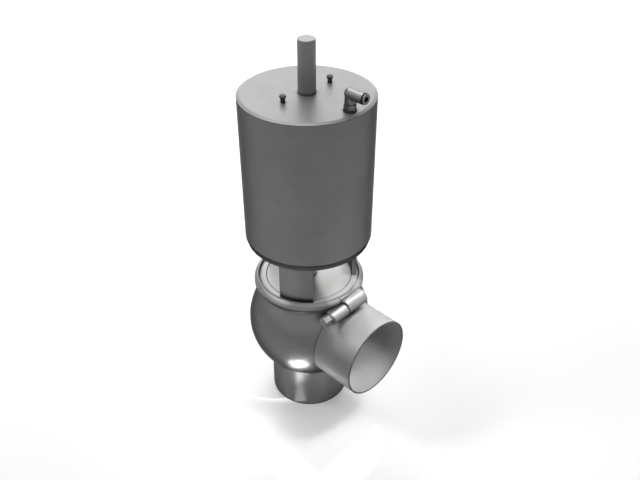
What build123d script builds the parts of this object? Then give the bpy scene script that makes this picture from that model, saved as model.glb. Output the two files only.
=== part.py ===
from build123d import *
import os
from math import cos, radians, sin, sqrt, tan

# Sanitary single seat valve with an L body and an air actuator, in millimetres.
# The origin is the centre of the bottom port's end face. +Z runs up the stem and +X along the side port.

# Ports
PORT_OD = 76.2
PORT_WALL = 1.65
SIDE_AXIS_Z = 90.6
SIDE_REACH = 88.3

# Ball shaped body and its neck; a spread is added to the radius of the piece before it
BALL_SPREAD = 20.6
BALL_WALL = 2.5
SIDE_TUBE_RISE = 2.4
NECK_SPREAD = 5.9
NECK_WALL = 3.2

# Seat ring between ball and bottom tube, with a conical seat inside
SEAT_RING_OVERHANG = 1.1
SEAT_COLLAR_H = 2.0
SEAT_LAND_H = 2.2
SEAT_CONE_WIDTH = 2.3

# Clamped joint of body and yoke
JOINT_RISE = 10.05
RIM_SPREAD = 5.4
RIM_HALF_H = 2.2
CONE_ANGLE = 20.0
FERRULE_FOOT_SPREAD = 0.8
YOKE_WALL = 4.1

# V clamp round the joint
CLAMP_SPREAD = 2.3
CLAMP_LIP_SPREAD = 3.0
CLAMP_LIP_WIDTH = 1.4
CLAMP_HALF_H = 5.65
CLAMP_FACE_HALF_H = 1.45
CLAMP_SHOULDER_BULGE = 0.5
CLAMP_RIM_GAP = 0.6
CLAMP_CONE_GAP = 0.3
CLAMP_SPLIT_GAP = 0.5
FERRULE_SPACE_H = 12.0

# Clamp closure over the side port
BOLT_SPREAD = 3.4
BOLT_DROP = 2.2
BOLT_D = 6.0
BOLT_TIP_Y = 10.0
BOLT_HOLE_RESERVE = 1.0
BIG_BARREL_R = 7.1
BIG_BARREL_OFFSET = (-0.5, 0.65)
BIG_BARREL_Y = (-9.0, 14.5)
SMALL_BARREL_R = 5.8
SMALL_BARREL_OFFSET = (0.5, -0.65)
SMALL_BARREL_LENGTH = 18.0
SMALL_BARREL_BORE_GAP = 1.1
SMALL_WEB_DROP = 2.3
SMALL_WEB_INSET = 3.0
LUG_TOP_RISE = 3.65
LUG_INNER_SPREAD = 1.5
WASHER_R = 5.4
WASHER_H = 1.2
WASHER_GAP = 0.3
HEAD_AF = 8.5
HEAD_LENGTH = 8.0
HEAD_GAP = 0.15
HEAD_CHAMFER = 0.6

# Hinge of the clamp at the back
HINGE_SPREAD = 6.9
HINGE_PIN_R = 1.9
HINGE_EYE_R = 4.2
HINGE_EYE_H = 2.5
HINGE_GAP = 0.3
HINGE_HEAD_OVERHANG = 0.9
HINGE_HEAD_H = 0.8

# Bonnet and its inner parts
BONNET_SIDE_GAP = 0.3
BONNET_TOP_RISE = 3.45
BONNET_DEPTH = 5.5
BONNET_RIM_SPREAD = 0.6
BONNET_RIM_H = 1.6
BONNET_HUB_WALL = 3.9
BONNET_HUB_DEPTH = 12.5
GASKET_WIRE_R = 1.0
GROOVE_GAP = 0.2

# Yoke
YOKE_H = 49.65
YOKE_LEG_ANGLE = 41.35
YOKE_LEG_CENTRES = (60.0, 180.0, 300.0)
YOKE_WINDOW_TOP_GAP = 8.4

# Actuator housing
CYLINDER_R = 57.2
CYLINDER_WALL = 2.5
CYLINDER_H = 133.75
LID_EDGE_H = 1.25
LID_EDGE_STEP = 3.0
LID_THICKNESS = 12.0
BASE_RIM_STEP = 1.3
BASE_RIM_H = 4.1
BASE_THICKNESS = 13.0
SPIGOT_GAP = 0.05
LOCK_WIRE_R = 1.1
COVER_RING_WIRE_R = 1.5
LID_LOCK_DEPTH = 4.0
LID_RING_DEPTH = 8.6
BASE_LOCK_RISE = 2.6
BASE_RING_RISE = 6.0

# Rods and bushes
STEM_D = 14.0
ACTUATOR_STEM_D = 20.0
TOP_ROD_D = 14.8
TOP_ROD_RISE = 44.5
ROD_CHAMFER = 0.3
RUNNING_GAP = 0.05
PASS_GAP = 0.3
BUSH_WALL = 2.0
BUSH_H = 6.0
ROD_SEAL_WIDTH = 2.6
ROD_SEAL_H = 3.2
ROD_SEAL_LIP = 0.5
ROD_SEAL_GROOVE_H = 1.4
SEAL_LAND = 1.5
BASE_BUSH_RISE = 3.0
BASE_HUB_H = 9.0
BASE_HUB_WALL = 4.5

# Moving group
STROKE = 28.0
PLUG_SEAT_GAP = 0.3
PLUG_OVERLAP = 1.8
PLUG_SPIGOT_GAP = 1.2
PLUG_SPIGOT_CHAMFER = 2.0
PLUG_SPIGOT_H = (-1.0, 0.5)
PLUG_SEAL_WIRE_R = 2.0
PLUG_SEAL_RISE = 2.8
PLUG_BOTTOM_DROP = 0.5
PLUG_DISC_H = 4.0
PLUG_CONE_H = 7.0
PLUG_HUB_R = 11.0
PLUG_HUB_H = 6.0
PISTON_TOP_GAP = 0.4
PISTON_WEB_H = 10.0
PISTON_SKIRT_H = 12.0
PISTON_SKIRT_WALL = 8.0
PISTON_WALL_GAP = 0.4
PISTON_POCKET_GAP = 1.0
PISTON_POCKET_H = 5.0
PISTON_SEAL_W = 3.0
PISTON_SEAL_H = 4.0
PISTON_SEAL_DROP = 3.0
PISTON_GUIDE_W = 2.0
PISTON_GUIDE_H = 6.0
PISTON_GUIDE_RISE = 3.0
SPIGOT_D = 12.0
ROD_FOOT_SPREAD = 4.6
ROD_FOOT_H = 3.0
SPIGOT_REACH = 18.0
STEM_O_RING_WIRE_R = 1.0
STEM_O_RING_RISE = 2.0
LOCK_NUT_AF = 22.0
LOCK_NUT_H = 8.0
LOCK_NUT_GAP = 1.8
STEM_THREAD_D = 12.0
STEM_THREAD_H = 16.0

# Return spring under the piston
SPRING_SIDE_GAP = 6.3
SPRING_WIRE_R = 4.0
SPRING_TURNS = 6.0

# Studs on the lid
STUD_R = 26.4
STUD_NECK_R = 1.9
STUD_NECK_H = 3.0
STUD_HEAD_R = 2.8
STUD_HEAD_H = 1.3
STUD_RIM_H = 0.5
STUD_TIP_R = 2.4
STUD_TIP_H = 1.1
STUD_SHANK_DEPTH = 6.0

# Push-in air elbow on the lid
ELBOW_INSET = 10.2
ELBOW_FLANGE_R = 5.4
ELBOW_FLANGE_H = 1.2
ELBOW_HEX_AF = 9.0
ELBOW_HEX_H = 4.6
ELBOW_THREAD_R = 2.5
ELBOW_THREAD_H = 5.0
ELBOW_NECK_R = 2.4
ELBOW_NECK_DROP = 2.0
ELBOW_RING_WIRE_R = 0.5
ELBOW_RING_RISE = 2.5
ELBOW_BARREL_R = 4.7
ELBOW_AXIS_RISE = 14.2
ELBOW_POST_R = 4.35
ELBOW_BARREL_REACH = 14.3
ELBOW_END_REACH = 16.2
ELBOW_SWIVEL_GAP = 0.3
ELBOW_AIR_R = 1.2
COLLAR_FACE_R = 4.2
COLLAR_TRAVEL = 0.8
COLLAR_GAP = 0.3
COLLAR_DEPTH = 2.8
COLLAR_SLEEVE_R = 3.3
TUBE_BORE_R = 2.05
TUBE_DEPTH = 11.0
STOP_RELIEF_R = 2.6
STOP_RELIEF_W = 0.5
CARTRIDGE_R = 3.6
CARTRIDGE_INSET = 2.5
TUBE_RING_WIRE_R = 0.7
GRIP_RING_H = 0.8

# Sizes worked out from the ones above
port_r = PORT_OD / 2
bore_r = port_r - PORT_WALL
ball_r = port_r + BALL_SPREAD
ball_inner_r = ball_r - BALL_WALL
seat_ring_r = port_r + SEAT_RING_OVERHANG
seat_ring_top_z = SIDE_AXIS_Z - port_r - SIDE_TUBE_RISE
ball_z = seat_ring_top_z + sqrt(ball_inner_r**2 - seat_ring_r**2)
seat_ring_bottom_z = ball_z - sqrt(ball_r**2 - seat_ring_r**2) - SEAT_COLLAR_H
seat_cone_z = seat_ring_bottom_z + SEAT_LAND_H
seat_top_r = bore_r + SEAT_CONE_WIDTH
neck_r = port_r + NECK_SPREAD
neck_inner_r = neck_r - NECK_WALL
cone_slope = tan(radians(CONE_ANGLE))
joint_z = SIDE_AXIS_Z + port_r + JOINT_RISE
rim_r = neck_r + RIM_SPREAD
ferrule_foot_r = neck_r + FERRULE_FOOT_SPREAD
rim_slope_h = RIM_HALF_H + (rim_r - ferrule_foot_r) * cone_slope
clamp_r = rim_r + CLAMP_SPREAD
clamp_lip_r = ferrule_foot_r + CLAMP_LIP_SPREAD
clamp_space = 2 * clamp_r
groove_r = rim_r + CLAMP_RIM_GAP
groove_half_h = RIM_HALF_H + CLAMP_CONE_GAP / cos(radians(CONE_ANGLE)) - CLAMP_RIM_GAP * cone_slope
bolt_x = clamp_r + BOLT_SPREAD
hinge_x = clamp_r + HINGE_SPREAD
lug_inner_x = ferrule_foot_r + LUG_INNER_SPREAD
yoke_inner_r = ferrule_foot_r - YOKE_WALL
yoke_ring_z = joint_z + rim_slope_h
stem_r = STEM_D / 2
bonnet_r = neck_inner_r - BONNET_SIDE_GAP
bonnet_rim_r = neck_r + BONNET_RIM_SPREAD
bonnet_hub_r = stem_r + ROD_SEAL_WIDTH + BONNET_HUB_WALL
gasket_r = (bonnet_r + bonnet_rim_r) / 2
bonnet_top_z = joint_z + BONNET_TOP_RISE
bonnet_bottom_z = joint_z - BONNET_DEPTH
bonnet_hub_z = joint_z - BONNET_HUB_DEPTH
bonnet_rim_z = joint_z - BONNET_RIM_H
stem_seal_z = bonnet_hub_z + SEAL_LAND
stem_bush_z = stem_seal_z + ROD_SEAL_H + SEAL_LAND
base_bottom_z = joint_z + YOKE_H
base_top_z = base_bottom_z + BASE_THICKNESS
base_hub_z = base_top_z + BASE_HUB_H
base_rim_r = CYLINDER_R - BASE_RIM_STEP
cylinder_bottom_z = base_bottom_z + BASE_RIM_H
cylinder_top_z = cylinder_bottom_z + CYLINDER_H
base_bush_z = base_bottom_z + BASE_BUSH_RISE
base_seal_z = base_bush_z + BUSH_H + SEAL_LAND
base_lock_z = cylinder_bottom_z + BASE_LOCK_RISE
base_ring_z = cylinder_bottom_z + BASE_RING_RISE
cylinder_inner_r = CYLINDER_R - CYLINDER_WALL
spigot_r = cylinder_inner_r - SPIGOT_GAP
cover_ring_r = cylinder_inner_r - COVER_RING_WIRE_R
lid_edge_r = CYLINDER_R - LID_EDGE_STEP
lid_top_z = cylinder_top_z + LID_EDGE_H
lid_bottom_z = lid_top_z - LID_THICKNESS
lid_seal_z = lid_bottom_z + BUSH_H + SEAL_LAND
lid_lock_z = lid_top_z - LID_LOCK_DEPTH
lid_ring_z = lid_top_z - LID_RING_DEPTH
actuator_stem_r = ACTUATOR_STEM_D / 2
top_rod_r = TOP_ROD_D / 2
top_rod_z = lid_top_z + TOP_ROD_RISE
rod_foot_r = top_rod_r + ROD_FOOT_SPREAD
piston_top_z = lid_bottom_z - PISTON_TOP_GAP
piston_web_z = piston_top_z - PISTON_WEB_H
piston_bottom_z = piston_web_z - PISTON_SKIRT_H
piston_r = cylinder_inner_r - PISTON_WALL_GAP
skirt_r = piston_r - PISTON_SKIRT_WALL
spring_mean_r = skirt_r - SPRING_SIDE_GAP - SPRING_WIRE_R
piston_seal_z = piston_top_z - PISTON_SEAL_DROP - PISTON_SEAL_H
piston_guide_z = piston_bottom_z + PISTON_GUIDE_RISE
stem_ring_z = piston_web_z + STEM_O_RING_RISE
pocket_z = piston_top_z - PISTON_POCKET_H
spigot_top_z = pocket_z + SPIGOT_REACH
nut_z = bonnet_top_z + STROKE + LOCK_NUT_GAP
nut_top_z = nut_z + LOCK_NUT_H
bolt_z = joint_z - BOLT_DROP
small_barrel_y = (BIG_BARREL_Y[0] - CLAMP_SPLIT_GAP - SMALL_BARREL_LENGTH, BIG_BARREL_Y[0] - CLAMP_SPLIT_GAP)
washer_y = small_barrel_y[0] - WASHER_GAP - WASHER_H
elbow_x = CYLINDER_R - ELBOW_INSET
elbow_hex_z = lid_top_z + ELBOW_FLANGE_H + ELBOW_HEX_H
elbow_axis_z = lid_top_z + ELBOW_AXIS_RISE
elbow_ring_z = elbow_hex_z + ELBOW_RING_RISE
elbow_neck_z = elbow_axis_z - ELBOW_NECK_DROP
elbow_bore_r = ELBOW_NECK_R + ELBOW_RING_WIRE_R + RUNNING_GAP
barrel_end_x = elbow_x + ELBOW_BARREL_REACH
elbow_end_x = elbow_x + ELBOW_END_REACH
plug_r = bore_r + PLUG_OVERLAP
plug_seal_closed_z = seat_cone_z + PLUG_SEAL_RISE + PLUG_SEAT_GAP * sqrt(2)
plug_seal_z = plug_seal_closed_z + STROKE
plug_seal_r = bore_r - SPIGOT_GAP
plug_bottom_z = plug_seal_z - PLUG_SEAL_WIRE_R - PLUG_BOTTOM_DROP
plug_disc_z = plug_seal_z + PLUG_SEAL_WIRE_R
plug_cone_z = plug_disc_z + PLUG_DISC_H
plug_hub_z = plug_cone_z + PLUG_CONE_H
tube_stop_x = elbow_end_x - TUBE_DEPTH
cartridge_x = tube_stop_x + CARTRIDGE_INSET
grip_ring_x = cartridge_x + 2 * TUBE_RING_WIRE_R


def turned(points):
    """Solid of revolution about Z from (radius, height) points."""
    outline = make_face(Plane.XZ * Polyline(*points, close=True))
    return revolve(outline, Axis.Z)


def ring(outer, inner, z0, z1):
    """Plain ring between two heights."""
    return turned([(inner, z0), (outer, z0), (outer, z1), (inner, z1)])


def torus_ring(radius, wire_r, z):
    """Round ring of round wire."""
    return Pos(0, 0, z) * Torus(radius, wire_r)


def disc(radius, z0, z1):
    """Solid round bar on the valve's axis."""
    return Pos(0, 0, z0) * Cylinder(radius, z1 - z0, align=(Align.CENTER, Align.CENTER, Align.MIN))


def bar_x(radius, x0, x1, z):
    """Solid round bar along X."""
    base = Plane(origin=(x0, 0, z), x_dir=(0, 1, 0), z_dir=(1, 0, 0))
    return base * Cylinder(radius, x1 - x0, align=(Align.CENTER, Align.CENTER, Align.MIN))


def bar_y(radius, y0, y1, x, z):
    """Solid round bar along Y."""
    base = Plane(origin=(x, y0, z), x_dir=(1, 0, 0), z_dir=(0, 1, 0))
    return base * Cylinder(radius, y1 - y0, align=(Align.CENTER, Align.CENTER, Align.MIN))


def block(x, y, z):
    """Box between three pairs of limits."""
    return Pos(x[0], y[0], z[0]) * Box(x[1] - x[0], y[1] - y[0], z[1] - z[0], align=(Align.MIN,) * 3)


def valve_body():
    """Ball shell, neck and lower ferrule, opened for both ports."""
    outer_foot_z = ball_z - sqrt(ball_r**2 - seat_ring_r**2)
    neck_foot_z = ball_z + sqrt(ball_r**2 - neck_r**2)
    neck_inner_z = ball_z + sqrt(ball_inner_r**2 - neck_inner_r**2)
    recess_r = bonnet_rim_r + SPIGOT_GAP
    ball = ThreePointArc((seat_ring_r, outer_foot_z), (ball_r, ball_z), (neck_r, neck_foot_z))
    chamber = ThreePointArc((neck_inner_r, neck_inner_z), (ball_inner_r, ball_z), (seat_ring_r, seat_ring_top_z))
    ferrule = Polyline(
        (neck_r, neck_foot_z),
        (neck_r, joint_z - rim_slope_h),
        (ferrule_foot_r, joint_z - rim_slope_h),
        (rim_r, joint_z - RIM_HALF_H),
        (rim_r, joint_z),
        (recess_r, joint_z),
        (recess_r, bonnet_rim_z),
        (neck_inner_r, bonnet_rim_z),
        (neck_inner_r, neck_inner_z),
    )
    foot = Line((seat_ring_r, seat_ring_top_z), (seat_ring_r, outer_foot_z))
    section = make_face(Plane.XZ * (ball + ferrule + chamber + foot))
    shell = Rot(0, 0, 90) * revolve(section, Axis.Z)
    shell -= gasket_groove()
    return shell - bar_x(port_r, 0, SIDE_REACH, SIDE_AXIS_Z)


def gasket_groove():
    """Round groove shared by body and bonnet."""
    return torus_ring(gasket_r, GASKET_WIRE_R + GROOVE_GAP, bonnet_rim_z)


def side_port():
    """Tube end welded into the side of the ball."""
    tube = bar_x(port_r, 0, SIDE_REACH, SIDE_AXIS_Z) - bar_x(bore_r, 0, SIDE_REACH, SIDE_AXIS_Z)
    tube -= Pos(0, 0, ball_z) * Sphere(ball_inner_r)
    return tube - disc(neck_inner_r, ball_z, bonnet_rim_z)


def bottom_port():
    """Tube end welded under the seat ring."""
    return ring(port_r, bore_r, 0, seat_ring_bottom_z)


def seat_ring():
    """Ring between ball and bottom tube with the conical seat."""
    seat = [
        (bore_r, seat_ring_bottom_z),
        (seat_ring_r, seat_ring_bottom_z),
        (seat_ring_r, seat_ring_top_z),
        (seat_top_r, seat_cone_z + SEAT_CONE_WIDTH),
        (bore_r, seat_cone_z),
    ]
    return turned(seat)


def bonnet():
    """Disc that closes the body, with a hub for the stem seal and bush."""
    profile = [
        (stem_r + PASS_GAP, bonnet_hub_z),
        (bonnet_hub_r, bonnet_hub_z),
        (bonnet_hub_r, bonnet_bottom_z),
        (bonnet_r, bonnet_bottom_z),
        (bonnet_r, bonnet_rim_z),
        (bonnet_rim_r, bonnet_rim_z),
        (bonnet_rim_r, joint_z),
        (bonnet_r, joint_z),
        (bonnet_r, bonnet_top_z),
        (stem_r + PASS_GAP, bonnet_top_z),
    ]
    solid = turned(profile)
    solid -= ring(stem_r + ROD_SEAL_WIDTH, stem_r, stem_seal_z, stem_seal_z + ROD_SEAL_H)
    solid -= ring(stem_r + BUSH_WALL, stem_r, stem_bush_z, stem_bush_z + BUSH_H)
    return solid - gasket_groove()


def rod_bush(rod_r, z0):
    """Guide bush of a rod that slides."""
    return ring(rod_r + BUSH_WALL, rod_r + RUNNING_GAP, z0, z0 + BUSH_H)


def lip_seal(rod_r, z0):
    """Seal ring with a V groove in its pressure side."""
    inner = rod_r + RUNNING_GAP
    outer = rod_r + ROD_SEAL_WIDTH
    middle = (inner + outer) / 2
    profile = [
        (inner, z0),
        (inner + ROD_SEAL_LIP, z0),
        (middle, z0 + ROD_SEAL_GROOVE_H),
        (outer - ROD_SEAL_LIP, z0),
        (outer, z0),
        (outer, z0 + ROD_SEAL_H),
        (inner, z0 + ROD_SEAL_H),
    ]
    return turned(profile)


def stem_seal():
    """Lip seal that wipes the valve stem."""
    return lip_seal(stem_r, stem_seal_z)


def stem_bush():
    """Guide bush of the valve stem."""
    return rod_bush(stem_r, stem_bush_z)


def yoke():
    """Lantern of three legs between the clamped joint and the actuator."""
    profile = [
        (yoke_inner_r, joint_z),
        (rim_r, joint_z),
        (rim_r, joint_z + RIM_HALF_H),
        (ferrule_foot_r, yoke_ring_z),
        (ferrule_foot_r, base_bottom_z),
        (yoke_inner_r, base_bottom_z),
    ]
    solid = turned(profile)
    window_top_z = base_bottom_z - YOKE_WINDOW_TOP_GAP
    window_angle = 360 / len(YOKE_LEG_CENTRES) - YOKE_LEG_ANGLE
    window_h = window_top_z - yoke_ring_z
    half = radians(window_angle / 2)
    wedge_x = clamp_space * cos(half)
    wedge_y = clamp_space * sin(half)
    wedge = [(0, 0), (wedge_x, -wedge_y), (wedge_x, wedge_y)]
    sector = extrude(make_face(Polyline(*wedge, close=True)), window_h)
    for centre in YOKE_LEG_CENTRES:
        solid -= Pos(0, 0, yoke_ring_z) * Rot(0, 0, centre + 180 / len(YOKE_LEG_CENTRES)) * sector
    return solid


def clamp_band():
    """Whole ring of the V clamp: flat lips, rounded shoulders, upright outer face and V groove inside."""
    lip_half_h = groove_half_h + (groove_r - clamp_lip_r) * cone_slope
    shoulder_r = clamp_lip_r + CLAMP_LIP_WIDTH
    run = clamp_r - shoulder_r
    rise = CLAMP_HALF_H - CLAMP_FACE_HALF_H
    chord = sqrt(run**2 + rise**2)
    middle_r = (shoulder_r + clamp_r) / 2 + CLAMP_SHOULDER_BULGE * rise / chord
    middle_h = (CLAMP_HALF_H + CLAMP_FACE_HALF_H) / 2 + CLAMP_SHOULDER_BULGE * run / chord
    upper = ThreePointArc((shoulder_r, CLAMP_HALF_H), (middle_r, middle_h), (clamp_r, CLAMP_FACE_HALF_H))
    face = Line((clamp_r, CLAMP_FACE_HALF_H), (clamp_r, -CLAMP_FACE_HALF_H))
    lower = ThreePointArc((clamp_r, -CLAMP_FACE_HALF_H), (middle_r, -middle_h), (shoulder_r, -CLAMP_HALF_H))
    groove = Polyline(
        (shoulder_r, -CLAMP_HALF_H),
        (clamp_lip_r, -CLAMP_HALF_H),
        (clamp_lip_r, -lip_half_h),
        (groove_r, -groove_half_h),
        (groove_r, groove_half_h),
        (clamp_lip_r, lip_half_h),
        (clamp_lip_r, CLAMP_HALF_H),
        (shoulder_r, CLAMP_HALF_H),
    )
    section = make_face(Plane.XZ * (upper + face + lower + groove))
    return Pos(0, 0, joint_z) * revolve(section, Axis.Z)


def joint_envelope():
    """Space of the two ferrules with the clamp's running gap round it."""
    foot_r = ferrule_foot_r + CLAMP_RIM_GAP
    foot_half_h = groove_half_h + (groove_r - foot_r) * cone_slope
    points = [
        (0, -FERRULE_SPACE_H),
        (foot_r, -FERRULE_SPACE_H),
        (foot_r, -foot_half_h),
        (groove_r, -groove_half_h),
        (groove_r, groove_half_h),
        (foot_r, foot_half_h),
        (foot_r, FERRULE_SPACE_H),
        (0, FERRULE_SPACE_H),
    ]
    return turned([(r, joint_z + h) for r, h in points])


def half_space(side, front_y):
    """Block that keeps one half of the clamp: side is +1 for +Y and -1 for -Y."""
    tall = (joint_z - clamp_space, joint_z + clamp_space)
    front = sorted((front_y, side * clamp_space))
    back = sorted((side * HINGE_GAP, side * clamp_space))
    return block((0, clamp_space), front, tall) + block((-clamp_space, 0), back, tall)


def hinge_eye(side, z0, z1):
    """Round eye of the clamp hinge with a short arm to its half of the band."""
    arm_y = sorted((side * HINGE_GAP, side * HINGE_EYE_R))
    arm = block((-hinge_x, -clamp_lip_r), arm_y, (joint_z + z0, joint_z + z1))
    eye = arm + Pos(-hinge_x, 0, 0) * disc(HINGE_EYE_R, joint_z + z0, joint_z + z1)
    return eye - joint_envelope()


def hinge_hole(radius):
    """Space of the hinge pin."""
    return Pos(-hinge_x, 0, 0) * disc(radius, joint_z - FERRULE_SPACE_H, joint_z + FERRULE_SPACE_H)


def clamp_half_right():
    """+Y half of the clamp with the large barrel lug and two outer hinge eyes."""
    band = clamp_band() & half_space(1, BIG_BARREL_Y[0])
    barrel_x = bolt_x + BIG_BARREL_OFFSET[0]
    barrel_z = bolt_z + BIG_BARREL_OFFSET[1]
    lug_z = (joint_z - CLAMP_FACE_HALF_H, joint_z + LUG_TOP_RISE)
    lug = block((lug_inner_x, barrel_x), BIG_BARREL_Y, lug_z)
    lug += bar_y(BIG_BARREL_R, *BIG_BARREL_Y, barrel_x, barrel_z)
    solid = band + (lug - joint_envelope())
    near = HINGE_EYE_H / 2 + HINGE_GAP
    far = near + HINGE_EYE_H
    solid += hinge_eye(1, near, far)
    solid += hinge_eye(1, -far, -near)
    solid -= hinge_hole(HINGE_PIN_R)
    hole_end_y = BOLT_TIP_Y + BOLT_HOLE_RESERVE
    return solid - bar_y(BOLT_D / 2 + RUNNING_GAP, BIG_BARREL_Y[0], hole_end_y, bolt_x, bolt_z)


def clamp_half_left():
    """-Y half of the clamp with the small barrel lug and the middle hinge eye."""
    band = clamp_band() & half_space(-1, small_barrel_y[1])
    barrel_x = bolt_x + SMALL_BARREL_OFFSET[0]
    barrel_z = bolt_z + SMALL_BARREL_OFFSET[1]
    web_y = (small_barrel_y[0] + SMALL_WEB_INSET, small_barrel_y[1])
    web_middle_z = joint_z - SMALL_WEB_DROP
    web_z = (web_middle_z - CLAMP_FACE_HALF_H, web_middle_z + CLAMP_FACE_HALF_H)
    web = block((clamp_lip_r, barrel_x), web_y, web_z)
    lug = web + bar_y(SMALL_BARREL_R, *small_barrel_y, barrel_x, barrel_z)
    solid = band + (lug - joint_envelope())
    solid += hinge_eye(-1, -HINGE_EYE_H / 2, HINGE_EYE_H / 2)
    solid -= hinge_hole(HINGE_PIN_R + RUNNING_GAP)
    return solid - bar_y(BOLT_D / 2 + SMALL_BARREL_BORE_GAP, *small_barrel_y, bolt_x, bolt_z)


def clamp_hinge_pin():
    """Rivet through the three hinge eyes."""
    half_h = 1.5 * HINGE_EYE_H + HINGE_GAP
    head_r = HINGE_PIN_R + HINGE_HEAD_OVERHANG
    pin = disc(HINGE_PIN_R, joint_z - half_h, joint_z + half_h)
    pin += disc(head_r, joint_z + half_h, joint_z + half_h + HINGE_HEAD_H)
    pin += disc(head_r, joint_z - half_h - HINGE_HEAD_H, joint_z - half_h)
    return Pos(-hinge_x, 0, 0) * pin


def clamp_washer():
    """Washer between the small barrel and the bolt head."""
    washer = bar_y(WASHER_R, washer_y, washer_y + WASHER_H, bolt_x, bolt_z)
    return washer - bar_y(BOLT_D / 2 + RUNNING_GAP, washer_y, washer_y + WASHER_H, bolt_x, bolt_z)


def clamp_bolt():
    """Clamp bolt with a long hex head."""
    head_y = washer_y - HEAD_GAP
    head_plane = Plane(origin=(bolt_x, head_y, bolt_z), x_dir=(1, 0, 0), z_dir=(0, -1, 0))
    head = extrude(head_plane * RegularPolygon(HEAD_AF / 2, 6, major_radius=False, rotation=30), HEAD_LENGTH)
    edges = head.faces().sort_by(Axis.Y)[0].edges()
    head = chamfer(edges, HEAD_CHAMFER)
    return head + bar_y(BOLT_D / 2, head_y, BOLT_TIP_Y, bolt_x, bolt_z)


def actuator_base():
    """Lower cover of the actuator with the hub for the stem."""
    hub_r = actuator_stem_r + ROD_SEAL_WIDTH + BASE_HUB_WALL
    profile = [
        (actuator_stem_r + PASS_GAP, base_bottom_z),
        (base_rim_r, base_bottom_z),
        (base_rim_r, cylinder_bottom_z),
        (spigot_r, cylinder_bottom_z),
        (spigot_r, base_top_z),
        (hub_r, base_top_z),
        (hub_r, base_hub_z),
        (actuator_stem_r + PASS_GAP, base_hub_z),
    ]
    solid = turned(profile)
    solid -= ring(actuator_stem_r + BUSH_WALL, actuator_stem_r, base_bush_z, base_bush_z + BUSH_H)
    solid -= ring(actuator_stem_r + ROD_SEAL_WIDTH, actuator_stem_r, base_seal_z, base_seal_z + ROD_SEAL_H)
    solid -= lock_groove(base_lock_z)
    return solid - cover_ring_groove(base_ring_z)


def base_bush():
    """Guide bush of the actuator stem."""
    return rod_bush(actuator_stem_r, base_bush_z)


def base_rod_seal():
    """Lip seal of the actuator stem."""
    return lip_seal(actuator_stem_r, base_seal_z)


def actuator_lid():
    """Upper cover with a chamfered rim that sits on the cylinder."""
    profile = [
        (top_rod_r + PASS_GAP, lid_bottom_z),
        (spigot_r, lid_bottom_z),
        (spigot_r, cylinder_top_z),
        (CYLINDER_R, cylinder_top_z),
        (lid_edge_r, lid_top_z),
        (top_rod_r + PASS_GAP, lid_top_z),
    ]
    solid = turned(profile)
    solid -= ring(top_rod_r + BUSH_WALL, top_rod_r, lid_bottom_z, lid_bottom_z + BUSH_H)
    solid -= ring(top_rod_r + ROD_SEAL_WIDTH, top_rod_r, lid_seal_z, lid_seal_z + ROD_SEAL_H)
    solid -= lock_groove(lid_lock_z)
    solid -= cover_ring_groove(lid_ring_z)
    for side in (-1, 1):
        solid -= Pos(0, side * STUD_R, 0) * disc(STUD_NECK_R, lid_top_z - STUD_SHANK_DEPTH, lid_top_z)
    return solid - Pos(elbow_x, 0, 0) * disc(ELBOW_THREAD_R, lid_bottom_z, lid_top_z)


def lid_bush():
    """Guide bush of the top rod."""
    return rod_bush(top_rod_r, lid_bottom_z)


def lid_rod_seal():
    """Lip seal of the top rod."""
    return lip_seal(top_rod_r, lid_seal_z)


def cover_ring_groove(z):
    """Groove in a cover's spigot for its round ring."""
    return ring(spigot_r, cover_ring_r - COVER_RING_WIRE_R, z - COVER_RING_WIRE_R, z + COVER_RING_WIRE_R)


def cover_o_ring(z):
    """Round ring between a cover's spigot and the cylinder."""
    return torus_ring(cover_ring_r, COVER_RING_WIRE_R, z)


def base_o_ring():
    """Round ring of the lower cover."""
    return cover_o_ring(base_ring_z)


def lid_o_ring():
    """Round ring of the upper cover."""
    return cover_o_ring(lid_ring_z)


def lock_groove(z):
    """Round groove shared by a cover's spigot and the cylinder."""
    return torus_ring(cylinder_inner_r, LOCK_WIRE_R + GROOVE_GAP, z)


def lock_wire(z):
    """Wire that locks a cover in its groove."""
    return torus_ring(cylinder_inner_r, LOCK_WIRE_R, z)


def base_lock_wire():
    """Wire that locks the lower cover."""
    return lock_wire(base_lock_z)


def lid_lock_wire():
    """Wire that locks the upper cover."""
    return lock_wire(lid_lock_z)


def cylinder_tube():
    """Plain cylinder with a half round groove for each lock wire."""
    tube = ring(CYLINDER_R, cylinder_inner_r, cylinder_bottom_z, cylinder_top_z)
    tube -= lock_groove(base_lock_z)
    return tube - lock_groove(lid_lock_z)


def lid_studs():
    """Two mushroom headed studs for a control top."""
    rim_z = STUD_NECK_H + STUD_HEAD_H
    tip_z = rim_z + STUD_RIM_H + STUD_TIP_H
    profile = [
        (0, -STUD_SHANK_DEPTH),
        (STUD_NECK_R, -STUD_SHANK_DEPTH),
        (STUD_NECK_R, STUD_NECK_H),
        (STUD_HEAD_R, rim_z),
        (STUD_HEAD_R, rim_z + STUD_RIM_H),
        (STUD_TIP_R, tip_z),
        (0, tip_z),
    ]
    stud = turned(profile)
    return Compound([Pos(0, side * STUD_R, lid_top_z) * stud for side in (-1, 1)])


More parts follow.
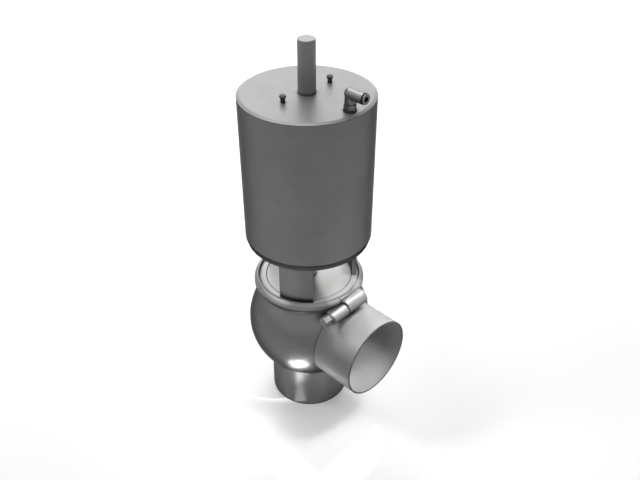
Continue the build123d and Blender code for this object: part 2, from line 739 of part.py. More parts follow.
def elbow_base():
    """Screwed base of the air elbow: thread, flange, hex and swivel neck."""
    flange_top_z = lid_top_z + ELBOW_FLANGE_H
    thread_z = lid_top_z - ELBOW_THREAD_H
    hex_face = Pos(0, 0, flange_top_z) * RegularPolygon(ELBOW_HEX_AF / 2, 6, major_radius=False)
    solid = extrude(hex_face, ELBOW_HEX_H)
    solid += disc(ELBOW_FLANGE_R, lid_top_z, flange_top_z)
    solid += disc(ELBOW_THREAD_R, thread_z, lid_top_z)
    solid += disc(ELBOW_NECK_R, lid_top_z, elbow_neck_z)
    solid -= disc(ELBOW_AIR_R, thread_z, elbow_neck_z)
    solid -= torus_ring(ELBOW_NECK_R, ELBOW_RING_WIRE_R + GROOVE_GAP, elbow_ring_z)
    return Pos(elbow_x, 0, 0) * solid


def elbow_o_ring():
    """Swivel seal of the elbow in the neck's groove."""
    return Pos(elbow_x, 0, 0) * torus_ring(ELBOW_NECK_R, ELBOW_RING_WIRE_R, elbow_ring_z)


def elbow_body():
    """Swivelling body of the air elbow with the barrel for the tube."""
    post_z = elbow_hex_z + ELBOW_SWIVEL_GAP
    post = Pos(elbow_x, 0, 0) * disc(ELBOW_POST_R, post_z, elbow_axis_z)
    corner = Pos(elbow_x, 0, elbow_axis_z) * Sphere(ELBOW_BARREL_R)
    solid = post + corner + bar_x(ELBOW_BARREL_R, elbow_x, barrel_end_x, elbow_axis_z)
    solid -= Pos(elbow_x, 0, 0) * disc(elbow_bore_r, post_z, elbow_neck_z + ELBOW_SWIVEL_GAP)
    solid -= Pos(elbow_x, 0, 0) * disc(ELBOW_AIR_R, elbow_neck_z, elbow_axis_z)
    solid -= bar_x(ELBOW_AIR_R, elbow_x - ELBOW_AIR_R, barrel_end_x, elbow_axis_z)
    solid -= bar_x(TUBE_BORE_R, tube_stop_x, barrel_end_x, elbow_axis_z)
    solid -= bar_x(STOP_RELIEF_R, tube_stop_x, tube_stop_x + STOP_RELIEF_W, elbow_axis_z)
    return solid - bar_x(CARTRIDGE_R, cartridge_x, barrel_end_x, elbow_axis_z)


def tube_washer(x0, x1):
    """Ring round the air tube inside the barrel."""
    return bar_x(CARTRIDGE_R, x0, x1, elbow_axis_z) - bar_x(TUBE_BORE_R, x0, x1, elbow_axis_z)


def tube_o_ring():
    """Seal round the air tube."""
    return tube_washer(cartridge_x, grip_ring_x)


def tube_grip_ring():
    """Toothed ring that holds the air tube."""
    return tube_washer(grip_ring_x, grip_ring_x + GRIP_RING_H)


def release_collar():
    """Collar that is pushed in to free the air tube."""
    flange_x = barrel_end_x + COLLAR_TRAVEL + COLLAR_GAP
    sleeve_x = barrel_end_x - COLLAR_DEPTH
    solid = bar_x(COLLAR_FACE_R, flange_x, elbow_end_x, elbow_axis_z)
    solid += bar_x(COLLAR_SLEEVE_R, sleeve_x, elbow_end_x, elbow_axis_z)
    return solid - bar_x(TUBE_BORE_R, sleeve_x, elbow_end_x, elbow_axis_z)


def piston():
    """Piston with a skirt round the spring and grooves for its rings."""
    pocket_r = rod_foot_r + PISTON_POCKET_GAP
    profile = [
        (SPIGOT_D / 2, piston_web_z),
        (skirt_r, piston_web_z),
        (skirt_r, piston_bottom_z),
        (piston_r, piston_bottom_z),
        (piston_r, piston_top_z),
        (pocket_r, piston_top_z),
        (pocket_r, pocket_z),
        (SPIGOT_D / 2, pocket_z),
    ]
    solid = turned(profile)
    solid -= ring(piston_r, piston_r - PISTON_SEAL_W, piston_seal_z, piston_seal_z + PISTON_SEAL_H)
    solid -= ring(piston_r, piston_r - PISTON_GUIDE_W, piston_guide_z, piston_guide_z + PISTON_GUIDE_H)
    return solid - stem_ring_groove()


def piston_seal():
    """Square ring that seals the piston to the cylinder."""
    outer = cylinder_inner_r - RUNNING_GAP
    return ring(outer, piston_r - PISTON_SEAL_W, piston_seal_z, piston_seal_z + PISTON_SEAL_H)


def piston_guide_ring():
    """Wear band that guides the piston."""
    outer = cylinder_inner_r - RUNNING_GAP
    return ring(outer, piston_r - PISTON_GUIDE_W, piston_guide_z, piston_guide_z + PISTON_GUIDE_H)


def stem_ring_groove():
    """Round groove shared by piston and stem."""
    return torus_ring(SPIGOT_D / 2, STEM_O_RING_WIRE_R + GROOVE_GAP, stem_ring_z)


def stem_o_ring():
    """Ring that seals the piston on the stem's spigot."""
    return torus_ring(SPIGOT_D / 2, STEM_O_RING_WIRE_R, stem_ring_z)


def actuator_stem():
    """Stem of the actuator with a spigot through the piston and a threaded foot."""
    solid = disc(actuator_stem_r, nut_top_z, piston_web_z)
    solid += disc(SPIGOT_D / 2, piston_web_z, spigot_top_z)
    solid -= stem_ring_groove()
    return solid - disc(STEM_THREAD_D / 2, nut_top_z, nut_top_z + STEM_THREAD_H)


def top_rod():
    """Rod that stands out of the lid and clamps the piston with its foot."""
    foot_top_z = pocket_z + ROD_FOOT_H
    profile = [
        (SPIGOT_D / 2, pocket_z),
        (rod_foot_r, pocket_z),
        (rod_foot_r, foot_top_z),
        (top_rod_r, foot_top_z),
        (top_rod_r, top_rod_z - ROD_CHAMFER),
        (top_rod_r - ROD_CHAMFER, top_rod_z),
        (0, top_rod_z),
        (0, spigot_top_z),
        (SPIGOT_D / 2, spigot_top_z),
    ]
    return turned(profile)


def stem_lock_nut():
    """Hex nut that locks the valve stem to the actuator stem."""
    face = Pos(0, 0, nut_z) * RegularPolygon(LOCK_NUT_AF / 2, 6, major_radius=False)
    return extrude(face, LOCK_NUT_H) - disc(STEM_THREAD_D / 2, nut_z, nut_top_z)


def plug():
    """Closing plug in its open place: bottom plate, seal groove, disc, cone and hub."""
    guide_r = bore_r - PLUG_SPIGOT_GAP
    profile = [
        (0, plug_bottom_z),
        (guide_r - PLUG_SPIGOT_CHAMFER, plug_bottom_z),
        (guide_r, plug_seal_z + PLUG_SPIGOT_H[0]),
        (guide_r, plug_seal_z + PLUG_SPIGOT_H[1]),
        (plug_r, plug_disc_z),
        (plug_r, plug_cone_z),
        (PLUG_HUB_R, plug_hub_z),
        (PLUG_HUB_R, plug_hub_z + PLUG_HUB_H),
        (0, plug_hub_z + PLUG_HUB_H),
    ]
    solid = turned(profile)
    solid -= disc(stem_r, plug_hub_z, plug_hub_z + PLUG_HUB_H)
    return solid - torus_ring(plug_seal_r, PLUG_SEAL_WIRE_R + GROOVE_GAP, plug_seal_z)


def plug_seal():
    """Round seal of the plug."""
    return torus_ring(plug_seal_r, PLUG_SEAL_WIRE_R, plug_seal_z)


def valve_stem():
    """Stem from the plug through the bonnet to the lock nut."""
    solid = disc(stem_r, plug_hub_z, nut_z)
    return solid + disc(STEM_THREAD_D / 2, nut_z, nut_top_z + STEM_THREAD_H)


def bonnet_gasket():
    """Round ring between body and bonnet."""
    return torus_ring(gasket_r, GASKET_WIRE_R, bonnet_rim_z)


def return_spring():
    """Coil spring with ground ends between the base and the piston."""
    height = piston_web_z - base_top_z
    pitch = height / SPRING_TURNS
    path = Helix(pitch, height + pitch, spring_mean_r, center=(0, 0, base_top_z - pitch / 2))
    section = Plane(origin=path @ 0, z_dir=path % 0) * Circle(SPRING_WIRE_R)
    wire = sweep(section, path=path)
    return wire & disc(skirt_r, base_top_z, piston_web_z)


PARTS = [
    valve_body,
    side_port,
    bottom_port,
    seat_ring,
    bonnet,
    bonnet_gasket,
    stem_seal,
    stem_bush,
    yoke,
    clamp_half_right,
    clamp_half_left,
    clamp_hinge_pin,
    clamp_washer,
    clamp_bolt,
    actuator_base,
    base_bush,
    base_rod_seal,
    base_o_ring,
    base_lock_wire,
    cylinder_tube,
    actuator_lid,
    lid_bush,
    lid_rod_seal,
    lid_o_ring,
    lid_lock_wire,
    lid_studs,
    elbow_base,
    elbow_o_ring,
    elbow_body,
    tube_o_ring,
    tube_grip_ring,
    release_collar,
    piston,
    piston_seal,
    piston_guide_ring,
    stem_o_ring,
    actuator_stem,
    top_rod,
    stem_lock_nut,
    valve_stem,
    plug,
    plug_seal,
    return_spring,
]


def write_parts():
    """Write one file for each sub-part."""
    os.makedirs("parts", exist_ok=True)
    for make in PARTS:
        export_step(make(), f"parts/{make.__name__}.step")


write_parts()
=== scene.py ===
from math import cos, pi, radians, sin, sqrt

import bmesh
import bpy
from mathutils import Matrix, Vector


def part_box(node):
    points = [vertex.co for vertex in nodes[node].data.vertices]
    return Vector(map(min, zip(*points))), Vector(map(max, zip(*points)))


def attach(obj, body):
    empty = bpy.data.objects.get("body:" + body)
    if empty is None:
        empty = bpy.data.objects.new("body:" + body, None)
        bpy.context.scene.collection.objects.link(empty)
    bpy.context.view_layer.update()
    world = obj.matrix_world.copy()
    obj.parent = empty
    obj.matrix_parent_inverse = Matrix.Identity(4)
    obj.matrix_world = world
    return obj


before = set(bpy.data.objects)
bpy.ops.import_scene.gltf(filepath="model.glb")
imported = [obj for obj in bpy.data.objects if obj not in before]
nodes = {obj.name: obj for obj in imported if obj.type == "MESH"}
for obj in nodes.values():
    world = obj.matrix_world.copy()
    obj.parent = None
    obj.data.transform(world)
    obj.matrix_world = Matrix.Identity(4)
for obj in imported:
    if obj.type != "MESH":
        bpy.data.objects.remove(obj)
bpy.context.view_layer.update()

# Sanitary single seat valve: camera, floor, soft studio light, metal finishes and small details.
# Lengths are in metres, +Z runs up the stem and +X along the side port.

# Sizes that no box of a piece gives
PORT_WALL = 0.00165
BALL_WALL = 0.0025
NECK_R = 0.044
YOKE_RING_RISE = 0.0038
BONNET_FACE_R = 0.0404

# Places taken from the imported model
side_low, side_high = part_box("side_port")
ball_low, ball_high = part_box("valve_body")
collar_low, collar_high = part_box("seat_ring")
bolt_low, bolt_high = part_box("clamp_bolt")
port_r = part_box("bottom_port")[1].x
bore_r = port_r - PORT_WALL
side_z = (side_low.z + side_high.z) / 2
ball_r = ball_high.y
ball_z = ball_low.z + sqrt(ball_r**2 - collar_high.x**2)
neck_foot_z = ball_z + sqrt(ball_r**2 - NECK_R**2)
joint_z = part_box("yoke")[0].z
clamp_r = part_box("clamp_half_right")[1].y
cylinder_foot_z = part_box("cylinder_tube")[0].z
rod_top_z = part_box("top_rod")[1].z
stem_line = (0, 0, 0)
side_line = (0, 0, side_z)

# Camera
CAMERA_PLACE = (0.3912, -0.3802, 0.5786)
CAMERA_PITCH = 36.14
CAMERA_HEADING = 44.716
FOCAL_PIXELS = 733.27
FRAME_PIXELS = 640
SENSOR = 36.0


def link(obj):
    """Put an object in the scene."""
    bpy.context.scene.collection.objects.link(obj)
    return obj


def camera():
    """Camera at the photograph's view."""
    data = bpy.data.cameras.new("camera")
    data.sensor_width = SENSOR
    data.lens = FOCAL_PIXELS / FRAME_PIXELS * SENSOR
    data.clip_start = 0.01
    data.clip_end = 50
    obj = link(bpy.data.objects.new("camera", data))
    obj.location = CAMERA_PLACE
    obj.rotation_euler = (radians(90 - CAMERA_PITCH), 0, radians(CAMERA_HEADING))
    bpy.context.scene.camera = obj


# Light
WORLD_LIGHT = 0.25
FLOOR_LIFT = 0.25
SPOT_R = 0.004
WINDOW_LAMP_PLACE = (0.50, -0.48, 0.46)
WINDOW_OFFSET = 0.018
WINDOW_Z = 0.142


def hang(name, data, place, aim):
    """Put a lamp at a place and turn it to a point."""
    obj = link(bpy.data.objects.new(name, data))
    obj.location = place
    obj.rotation_euler = (Vector(aim) - Vector(place)).to_track_quat("-Z", "Y").to_euler()


def panel(name, place, aim, size, power, spread=180):
    """Soft panel of light with a wide or a narrow spread."""
    data = bpy.data.lights.new(name, "AREA")
    data.shape = "RECTANGLE"
    data.size, data.size_y = size
    data.energy = power
    data.spread = radians(spread)
    hang(name, data, place, aim)


def spot(name, place, aim, power, angle, blend):
    """Narrow lamp that lights one round patch."""
    data = bpy.data.lights.new(name, "SPOT")
    data.energy = power
    data.spot_size = radians(angle)
    data.spot_blend = blend
    data.shadow_soft_size = SPOT_R
    hang(name, data, place, aim)


def large_lights():
    """Tall panel behind the valve and one above it."""
    panel("back_panel", place=(-1.0, 1.0, 0.75), aim=(0, 0, 0.25), size=(1.5, 1.3), power=24)
    panel("top_panel", place=(-0.45, 0.05, 1.5), aim=(0, 0, 0.2), size=(1.0, 0.9), power=11)


def port_lights():
    """Lamps for the front, the top and the bore of the side port."""
    panel("port_front_lamp", place=(-0.28, -0.36, 0.62), aim=(0.07, -0.02, 0.12), size=(0.16, 0.16),
          power=0.05, spread=25)
    spot("port_top_lamp", place=(0.07, 0.17, 0.595), aim=(0.072, -0.005, 0.12), power=17.0, angle=10.0,
         blend=0.6)
    spot("bore_lamp", place=(0.62, 0.10, 0.42), aim=(side_high.x, 0, side_z), power=26.0, angle=6.4,
         blend=0.2)


def clamp_lights():
    """Lamps for the barrels of the clamp and for the bonnet, through the windows of the yoke."""
    panel("lug_lamp", place=(0.262, 0.135, 0.567), aim=(0.07, 0, 0.135), size=(0.12, 0.12), power=0.05,
          spread=25)
    for name, offset in (("bonnet_right_lamp", WINDOW_OFFSET), ("bonnet_left_lamp", -WINDOW_OFFSET)):
        spot(name, place=WINDOW_LAMP_PLACE, aim=(offset, offset, WINDOW_Z), power=50.0, angle=3.0, blend=0.3)


def low_lights():
    """Small panels just above the floor, seen as highlights on the ball and on the bottom tube."""
    panel("ball_lamp", place=(0.0353, -0.0635, 0.001), aim=(0.034, -0.046, 0.075), size=(0.04, 0.04),
          power=0.024, spread=70)
    panel("tube_lamp", place=(0.0235, -0.052, 0.001), aim=(0.0237, -0.053, 1), size=(0.014, 0.036),
          power=0.0022)


class Nodes:
    """Small helper that adds and joins nodes of one tree."""

    def __init__(self, tree):
        self.tree = tree
        tree.nodes.clear()

    def add(self, kind, inputs=None, **settings):
        """One node with its settings and its inputs, given by name or number."""
        node = self.tree.nodes.new(kind)
        for key, value in settings.items():
            setattr(node, key, value)
        for key, value in (inputs or {}).items():
            self.put(node.inputs[key], value)
        return node

    def put(self, socket, value):
        """Join an output to a socket, or set its value."""
        if isinstance(value, bpy.types.NodeSocket):
            self.tree.links.new(value, socket)
        else:
            socket.default_value = value

    def place(self):
        """Place on the object."""
        return self.add("ShaderNodeTexCoord").outputs["Object"]

    def math(self, operation, a, b=0.0, clamp=False):
        """Result of one sum."""
        return self.add("ShaderNodeMath", {0: a, 1: b}, operation=operation, use_clamp=clamp).outputs[0]

    def scaled(self, color, level):
        """Color made lighter or darker by a level."""
        return self.add("ShaderNodeVectorMath", {0: color, "Scale": level}, operation="SCALE").outputs[0]

    def remap(self, value, low, high, new_low, new_high):
        """Value moved from one range to another and kept inside it."""
        node = self.add("ShaderNodeMapRange", {0: value, 1: low, 2: high, 3: new_low, 4: new_high})
        return node.outputs[0]

    def noise(self, vector, scale, detail=2.0, roughness=0.5):
        """Soft noise between 0 and 1."""
        inputs = {"Vector": vector, "Scale": scale, "Detail": detail, "Roughness": roughness}
        return self.add("ShaderNodeTexNoise", inputs).outputs[0]


def new_material(name):
    """Empty material and the helper for its nodes."""
    mat = bpy.data.materials.new(name)
    mat.use_nodes = True
    return mat, Nodes(mat.node_tree)


def looked_at(n):
    """1 for what is seen straight, mirrored or through glass, and 0 where only light is gathered."""
    path = n.add("ShaderNodeLightPath").outputs
    seen = n.math("MAXIMUM", path["Is Camera Ray"], path["Is Glossy Ray"])
    return n.math("MAXIMUM", seen, path["Is Transmission Ray"])


# Floor and world
WHITE = (1, 1, 1, 1)
FLOOR_HALF = 6.0
FLOOR_DROP = 0.0002
FLOOR_SHADES = (0.79, 0.81)
FLOOR_SPECKLE = 3.0

# Part of the range of a noise that nearly all of it lies in
NOISE_SPAN = (0.3, 0.7)


def floor_material():
    """Pale matt floor with faint speckles."""
    mat, n = new_material("floor")
    shade = n.remap(n.noise(n.place(), FLOOR_SPECKLE), *NOISE_SPAN, *FLOOR_SHADES)
    color = n.add("ShaderNodeCombineColor", {0: shade, 1: shade, 2: shade}).outputs[0]
    matt = n.add("ShaderNodeBsdfDiffuse", {"Color": color}).outputs[0]
    strength = n.math("MULTIPLY", looked_at(n), FLOOR_LIFT)
    lift = n.add("ShaderNodeEmission", {"Color": WHITE, "Strength": strength}).outputs[0]
    both = n.add("ShaderNodeAddShader", {0: matt, 1: lift}).outputs[0]
    n.add("ShaderNodeOutputMaterial", {"Surface": both})
    return mat


def floor_plane():
    """Wide floor just under the foot of the valve, which keeps its shadow."""
    mesh = bpy.data.meshes.new("floor")
    ends = (-FLOOR_HALF, FLOOR_HALF)
    corners = [(ends[0], ends[0], 0), (ends[1], ends[0], 0), (ends[1], ends[1], 0), (ends[0], ends[1], 0)]
    mesh.from_pydata(corners, [], [(0, 1, 2, 3)])
    mesh.materials.append(floor_material())
    floor = link(bpy.data.objects.new("floor", mesh))
    floor.location.z = -FLOOR_DROP


def pale_world():
    """World that looks white and lights the valve only a little."""
    world = bpy.data.worlds.new("world")
    bpy.context.scene.world = world
    world.use_nodes = True
    n = Nodes(world.node_tree)
    strength = n.remap(looked_at(n), 0, 1, WORLD_LIGHT, 1.0)
    back = n.add("ShaderNodeBackground", {"Color": WHITE, "Strength": strength}).outputs[0]
    n.add("ShaderNodeOutputWorld", {"Surface": back})


# Metal finishes
STEEL_TINT = (1.0, 0.995, 0.985)
RIM_TINT = 0.3
SHEEN_LEVEL = 0.15
RAY_SAMPLES = 6

# Streaks, stains and bumps
STREAK_AROUND = 1.2
FINE_STREAK = 3
STREAK_SHARE = 0.6
CLOUD_SCALE = 28.0
SMEAR_SCALE = 110.0
CLOUD_DEPTH = 0.05
SMEAR_SPAN = (0.3, 0.75)
SMEAR_ROUGHNESS = (-0.03, 0.05)
GRAIN_ROUGHNESS = 0.05
SMEAR_HEIGHT = 0.2
BUMP = 0.08
BUMP_DEPTH = 0.0002

# Seams and edges: painted shade in seams and along sharp edges, and rougher, rounded edges
SEAM_REACH = 0.0035
SEAM_PAINTED_SHADE = 0.75
SEAM_SPAN = (0.35, 0.95)
EDGE_WIDTH = 0.0005
EDGE_ROUND = 0.0003
EDGE_PAINTED_SHADE = 0.6
EDGE_ROUGHNESS = 0.1
EDGE_SPAN = (0.97, 0.86)

# Masked stretches of a piece: painted light on bores and some faces, which also get their own roughness and
# metal, and darkened stretches, with painted shade among them
BORE_PAINTED_LIGHT = 3.5
BORE_ROUGHNESS = 0.5
BORE_METAL = 0.2
SKIN_EDGE = 0.0004
DARK_END = 0.3
FOOT_BAND = 0.0018
BAND_SHADE_RISE = 0.0005
BONNET_SEAM_W = 0.001


def turning_vector(n, centre, axis, along, across, around):
    """Streak vector: distance from an axis, place along it and angle round it, each with its own scale."""
    moved = n.add("ShaderNodeVectorMath", {0: n.place(), 1: centre}, operation="SUBTRACT").outputs[0]
    split = n.add("ShaderNodeSeparateXYZ", {0: moved}).outputs
    order = {"Z": (0, 1, 2), "X": (1, 2, 0), "Y": (2, 0, 1)}[axis]
    u, v, w = (split[i] for i in order)
    radius = n.math("SQRT", n.math("ADD", n.math("MULTIPLY", u, u), n.math("MULTIPLY", v, v)))
    angle = n.math("ARCTAN2", v, u)
    parts = {0: n.math("MULTIPLY", radius, across), 1: n.math("MULTIPLY", w, along)}
    parts[2] = n.math("MULTIPLY", angle, around)
    return n.add("ShaderNodeCombineXYZ", parts).outputs[0]


def streaks(n, centre, axis, along, across):
    """Lines from polishing or turning, a coarse set with a finer one on top."""
    coarse = turning_vector(n, centre, axis, along, across, STREAK_AROUND)
    fine = [value * FINE_STREAK for value in (along, across, STREAK_AROUND)]
    lines = n.noise(coarse, 1.0, 3.0, 0.6)
    lines_fine = n.noise(turning_vector(n, centre, axis, *fine), 1.0, 2.0, 0.6)
    coarse_part = n.math("MULTIPLY", lines, STREAK_SHARE)
    fine_part = n.math("MULTIPLY", lines_fine, 1 - STREAK_SHARE)
    return n.math("ADD", coarse_part, fine_part)


def painted_seam_shade(n):
    """Painted shade: darker level in seams and narrow gaps, from ambient occlusion."""
    seam = n.add("ShaderNodeAmbientOcclusion", {"Distance": SEAM_REACH}, samples=RAY_SAMPLES).outputs["AO"]
    return n.remap(seam, *SEAM_SPAN, 1 - SEAM_PAINTED_SHADE, 1.0)


def edge_mask(n):
    """1 on sharp edges and creases and 0 on flat or gently curved skin; it sets painted shade lines and
    rougher edges.
    """
    rounded = n.add("ShaderNodeBevel", {"Radius": EDGE_WIDTH}, samples=RAY_SAMPLES).outputs[0]
    true = n.add("ShaderNodeNewGeometry").outputs["Normal"]
    same = n.add("ShaderNodeVectorMath", {0: rounded, 1: true}, operation="DOT_PRODUCT").outputs["Value"]
    return n.remap(same, *EDGE_SPAN, 0.0, 1.0)


def metal(name, color, roughness, streak, centre=stem_line, axis="Z", along=900.0, across=900.0,
          metallic=1.0, inside=None, painted_light_gain=BORE_PAINTED_LIGHT, inside_metal=BORE_METAL, dark=None):
    """Worked metal: streaks and stains, painted shade in seams and along edges, with a mask for a skin that
    painted light makes lighter and that gets its own roughness and metal, and a mask for a darkened part:
    dark tone and dark joints on most pieces, painted shade on the clamp.
    """
    mat, n = new_material(name)
    grain = streaks(n, centre, axis, along, across)
    cloud = n.noise(n.place(), CLOUD_SCALE, 3.0, 0.55)
    smear = n.noise(n.place(), SMEAR_SCALE, 4.0, 0.6)
    edge = edge_mask(n)
    level = n.math("ADD", n.remap(grain, *NOISE_SPAN, 1 - streak, 1 + streak),
                   n.remap(cloud, *NOISE_SPAN, -CLOUD_DEPTH, CLOUD_DEPTH))
    # Painted shade: base colour darkened in seams and gaps by ambient occlusion
    level = n.math("MULTIPLY", level, painted_seam_shade(n))
    # Painted shade: base colour darkened along sharp edges and creases
    level = n.math("MULTIPLY", level, n.remap(edge, 0, 1, 1.0, 1 - EDGE_PAINTED_SHADE))
    if dark:
        level = n.math("MULTIPLY", level, n.remap(dark(n), 0, 1, 1.0, DARK_END))
    # Painted light: the masked skin's base colour is raised by a gain; it also gets its own roughness and
    # metal
    if inside:
        mask = inside(n)
        level = n.math("MULTIPLY", level, n.remap(mask, 0, 1, 1.0, painted_light_gain))
        roughness = n.remap(mask, 0, 1, roughness, BORE_ROUGHNESS)
        metallic = n.remap(mask, 0, 1, metallic, inside_metal)
    base = n.scaled(tuple(part * color for part in STEEL_TINT), level)
    rough = n.math("ADD", n.remap(grain, *NOISE_SPAN, -GRAIN_ROUGHNESS, GRAIN_ROUGHNESS),
                   n.remap(smear, *SMEAR_SPAN, *SMEAR_ROUGHNESS))
    rough = n.math("ADD", rough, roughness, clamp=True)
    rough = n.math("ADD", rough, n.math("MULTIPLY", edge, EDGE_ROUGHNESS), clamp=True)
    height = n.math("ADD", grain, n.math("MULTIPLY", smear, SMEAR_HEIGHT))
    rounded = n.add("ShaderNodeBevel", {"Radius": EDGE_ROUND}, samples=RAY_SAMPLES).outputs[0]
    relief = {"Strength": BUMP, "Distance": BUMP_DEPTH, "Height": height, "Normal": rounded}
    normal = n.add("ShaderNodeBump", relief).outputs[0]
    inputs = {"Base Color": base, "Metallic": metallic, "Roughness": rough, "Normal": normal}
    shader = n.add("ShaderNodeBsdfPrincipled", inputs)
    shader.inputs["Specular Tint"].default_value = (RIM_TINT, RIM_TINT, RIM_TINT, 1)
    shader.inputs["Specular IOR Level"].default_value = SHEEN_LEVEL
    n.add("ShaderNodeOutputMaterial", {"Surface": shader.outputs[0]})
    return mat


def shorter(n, vector, radius):
    """1 where a vector is shorter than a radius and 0 beyond it."""
    length = n.add("ShaderNodeVectorMath", {0: vector}, operation="LENGTH").outputs["Value"]
    return n.remap(length, radius + SKIN_EDGE / 2, radius + SKIN_EDGE, 1.0, 0.0)


def near_axis(n, centre, axis, radius):
    """1 nearer to an axis than a radius and 0 beyond it."""
    return shorter(n, turning_vector(n, centre, axis, along=0.0, across=1.0, around=0.0), radius)


def past(axis, start, end):
    """Mask that goes from 0 to 1 between two places along an axis."""
    def mask(n):
        place = n.add("ShaderNodeSeparateXYZ", {0: n.place()}).outputs["XYZ".index(axis)]
        return n.remap(place, start, end, 0.0, 1.0)
    return mask


def bottom_bore(n):
    """1 in the bore of the bottom tube and 0 outside it."""
    return near_axis(n, stem_line, "Z", bore_r)


def side_bore(n):
    """1 in the bore of the side tube and 0 outside it."""
    return near_axis(n, side_line, "X", bore_r)


def ball_hollow(n):
    """1 on the inner skin of the ball and 0 outside it."""
    moved = n.add("ShaderNodeVectorMath", {0: n.place(), 1: (0, 0, ball_z)}, operation="SUBTRACT").outputs[0]
    return shorter(n, moved, ball_r - BALL_WALL)


def band_painted_shade(n):
    """Painted shade mask: 1 on the lower shoulder of the clamp's band and 0 on its barrels and above."""
    shade_z = joint_z + BAND_SHADE_RISE
    low = past("Z", shade_z, shade_z - SKIN_EDGE)(n)
    return n.math("MULTIPLY", low, near_axis(n, stem_line, "Z", clamp_r))


def bonnet_seam(n):
    """1 on the bonnet where it meets the yoke's ring and 0 nearer the stem."""
    return n.math("SUBTRACT", 1.0, near_axis(n, stem_line, "Z", BONNET_FACE_R - BONNET_SEAM_W))


def soft_plastic(name, color, roughness, scale):
    """Rubber or bush plastic with fine mottling."""
    mat, n = new_material(name)
    mottle = n.noise(n.place(), scale, 4.0, 0.6)
    base = n.scaled(color, n.remap(mottle, *NOISE_SPAN, 0.85, 1.15))
    rough = n.remap(mottle, *NOISE_SPAN, roughness - 0.06, roughness + 0.06)
    normal = n.add("ShaderNodeBump", {"Strength": 0.15, "Distance": BUMP_DEPTH, "Height": mottle}).outputs[0]
    inputs = {"Base Color": base, "Roughness": rough, "Normal": normal}
    shader = n.add("ShaderNodeBsdfPrincipled", inputs)
    n.add("ShaderNodeOutputMaterial", {"Surface": shader.outputs[0]})
    return mat


def dress(names, mat):
    """Give CAD nodes a material."""
    for name in names:
        obj = nodes[name]
        obj.data.materials.clear()
        obj.data.materials.append(mat)


def body_finishes():
    """Polished ball and tubes, rougher in their bores and on the ball's inner skin, which painted light
    makes lighter; the cut end of the side tube is dark.
    """
    # Painted light lightens the ball's inner skin and the bores of the tubes
    dress(["valve_body"], metal("body_steel", color=0.145, roughness=0.30, streak=0.05, inside=ball_hollow))
    bottom = metal("bottom_port_steel", color=0.18, roughness=0.38, streak=0.05, inside=bottom_bore)
    dress(["bottom_port", "seat_ring"], bottom)
    mouth = past("X", side_high.x - SKIN_EDGE, side_high.x - SKIN_EDGE / 2)
    side = metal("side_port_steel", color=0.19, roughness=0.42, streak=0.06, centre=side_line, axis="X",
                 metallic=0.2, inside=side_bore, painted_light_gain=1.9, dark=mouth)
    dress(["side_port"], side)


def actuator_finishes():
    """Turned cylinder with a dark foot, brushed lid, dark base and drawn rods whose end face painted light
    makes a little paler.
    """
    foot_top = cylinder_foot_z + FOOT_BAND
    foot = past("Z", foot_top + SKIN_EDGE, foot_top)
    dress(["cylinder_tube"],
          metal("cylinder_steel", color=0.155, roughness=0.34, streak=0.06, along=1400.0, dark=foot))
    dress(["actuator_lid"],
          metal("lid_steel", color=0.235, roughness=0.40, streak=0.06, across=1100.0, metallic=0.35))
    dress(["actuator_base"], metal("base_steel", color=0.07, roughness=0.36, streak=0.06))
    # Painted light: the rods' top end face is made a little paler, and rougher
    rod_top_painted_light = past("Z", rod_top_z - SKIN_EDGE, rod_top_z - SKIN_EDGE / 2)
    rod = metal("rod_steel", color=0.29, roughness=0.34, streak=0.05, along=1800.0, metallic=0.35,
                inside=rod_top_painted_light, painted_light_gain=1.1, inside_metal=0.35)
    dress(["top_rod", "valve_stem", "actuator_stem"], rod)


def joint_finishes():
    """Pale bonnet, a yoke ring that painted light makes pale over darker legs, and the clamp with painted
    shade on its lower shoulder.
    """
    bonnet = metal("bonnet_steel", color=0.42, roughness=0.45, streak=0.05, across=1100.0, metallic=0.3,
                   dark=bonnet_seam)
    dress(["bonnet"], bonnet)
    # Painted light: the lower ring of the yoke is made much paler, and rougher
    ring_top = joint_z + YOKE_RING_RISE
    ring = past("Z", ring_top + SKIN_EDGE, ring_top + SKIN_EDGE / 2)
    dress(["yoke"],
          metal("yoke_steel", color=0.155, roughness=0.34, streak=0.06, inside=ring, painted_light_gain=2.6))
    # Painted shade on the lower shoulder of the clamp's band
    clamp = metal("clamp_steel", color=0.235, roughness=0.42, streak=0.06, metallic=0.3, dark=band_painted_shade)
    dress(["clamp_half_right", "clamp_half_left"], clamp)
    bolt_centre = tuple((bolt_low + bolt_high) / 2)
    bolt = metal("bolt_steel", color=0.19, roughness=0.42, streak=0.08, centre=bolt_centre, axis="Y",
                 metallic=0.3)
    dress(["clamp_bolt", "clamp_washer", "clamp_hinge_pin"], bolt)


def small_finishes():
    """Lock nut, studs, welds, air fitting and the metal pieces inside."""
    dress(["stem_lock_nut"], metal("small_steel", color=0.20, roughness=0.30, streak=0.08))
    dress(["lid_studs"], metal("stud_steel", color=0.08, roughness=0.34, streak=0.08))
    metal("bead_steel", color=0.06, roughness=0.42, streak=0.08)
    fitting = metal("fitting_metal", color=0.17, roughness=0.26, streak=0.05)
    dress(["elbow_base", "elbow_body", "release_collar"], fitting)
    dress(["piston"], metal("piston_alloy", color=0.5, roughness=0.4, streak=0.08))
    inner = metal("inner_steel", color=0.4, roughness=0.35, streak=0.06)
    dress(["return_spring", "base_lock_wire", "lid_lock_wire", "tube_grip_ring", "plug"], inner)


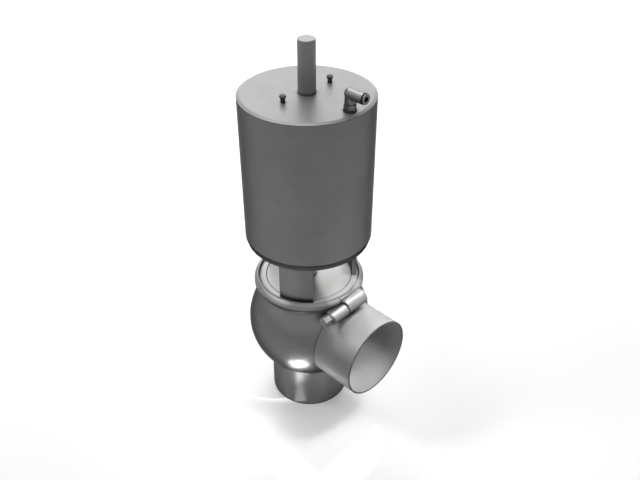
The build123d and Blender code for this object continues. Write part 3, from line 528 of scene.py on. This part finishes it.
def soft_finishes():
    """Black seals and pale bushes."""
    rubber = soft_plastic("seal_rubber", color=(0.02, 0.02, 0.021), roughness=0.7, scale=900.0)
    dress(["bonnet_gasket", "stem_seal", "plug_seal", "piston_seal", "stem_o_ring"], rubber)
    dress(["base_rod_seal", "base_o_ring", "lid_rod_seal", "lid_o_ring"], rubber)
    dress(["elbow_o_ring", "tube_o_ring"], rubber)
    bush = soft_plastic("bush_plastic", color=(0.62, 0.59, 0.52), roughness=0.5, scale=700.0)
    dress(["stem_bush", "base_bush", "lid_bush", "piston_guide_ring"], bush)


# Weld beads, which only the scene has
BEAD_HEIGHT = 0.0002
BEAD_WIDTH = 0.0012
BEAD_STEPS = 240
BEAD_SECTION = 8
BEAD_RIPPLE = 0.12
BEAD_RIPPLES = 80


def bead_mesh(place):
    """Flat oval section carried along a closed line and swelling a little as it goes."""
    mesh = bmesh.new()
    rows = []
    for step in range(BEAD_STEPS):
        angle = 2 * pi * step / BEAD_STEPS
        point, out, side = place(angle)
        swell = 1 + BEAD_RIPPLE * sin(angle * BEAD_RIPPLES)
        row = []
        for k in range(BEAD_SECTION):
            turn = 2 * pi * k / BEAD_SECTION
            move = out * (cos(turn) * BEAD_HEIGHT * swell) + side * (sin(turn) * BEAD_WIDTH / 2)
            row.append(mesh.verts.new(point + move))
        rows.append(row)
    for i, here in enumerate(rows):
        after = rows[(i + 1) % BEAD_STEPS]
        for k in range(BEAD_SECTION):
            other = (k + 1) % BEAD_SECTION
            mesh.faces.new((here[k], here[other], after[other], after[k]))
    bmesh.ops.recalc_face_normals(mesh, faces=mesh.faces)
    for face in mesh.faces:
        face.smooth = True
    return mesh


def bead(name, place):
    """Low weld bead along a closed line; place gives the point, the outward and the sideways direction."""
    mesh = bead_mesh(place)
    data = bpy.data.meshes.new(name)
    mesh.to_mesh(data)
    mesh.free()
    piece = link(bpy.data.objects.new(name, data))
    data.materials.append(bpy.data.materials["bead_steel"])
    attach(piece, "housing")


def side_port_place(angle):
    """Point of the line where the side tube leaves the ball, and the neck above it."""
    y = port_r * sin(angle)
    z = side_z + port_r * cos(angle)
    if z < neck_foot_z:
        rise = z - ball_z
        radius = sqrt(ball_r**2 - rise**2)
    else:
        rise = 0
        radius = NECK_R
    point = Vector((sqrt(radius**2 - y**2), y, z))
    tube_out = Vector((0, sin(angle), cos(angle)))
    body_out = Vector((point.x, y, rise)).normalized()
    out = (tube_out + body_out).normalized()
    along = Vector((0, cos(angle), -sin(angle)))
    return point, out, out.cross(along).normalized()


def collar_place(radius, z):
    """Points of a level ring round the bottom tube, facing out and up or down."""
    def place(angle):
        out = Vector((cos(angle), sin(angle), 0))
        return out * radius + Vector((0, 0, z)), out, Vector((0, 0, 1))
    return place


def weld_beads():
    """Beads at the side tube and at both ends of the seat ring."""
    bead("side_port_bead", side_port_place)
    bead("collar_top_bead", collar_place(collar_high.x, ball_low.z))
    bead("collar_foot_bead", collar_place(port_r, collar_low.z))


camera()
large_lights()
port_lights()
clamp_lights()
low_lights()
floor_plane()
pale_world()
body_finishes()
actuator_finishes()
joint_finishes()
small_finishes()
soft_finishes()
weld_beads()
bpy.context.scene.view_settings.view_transform = "Standard"
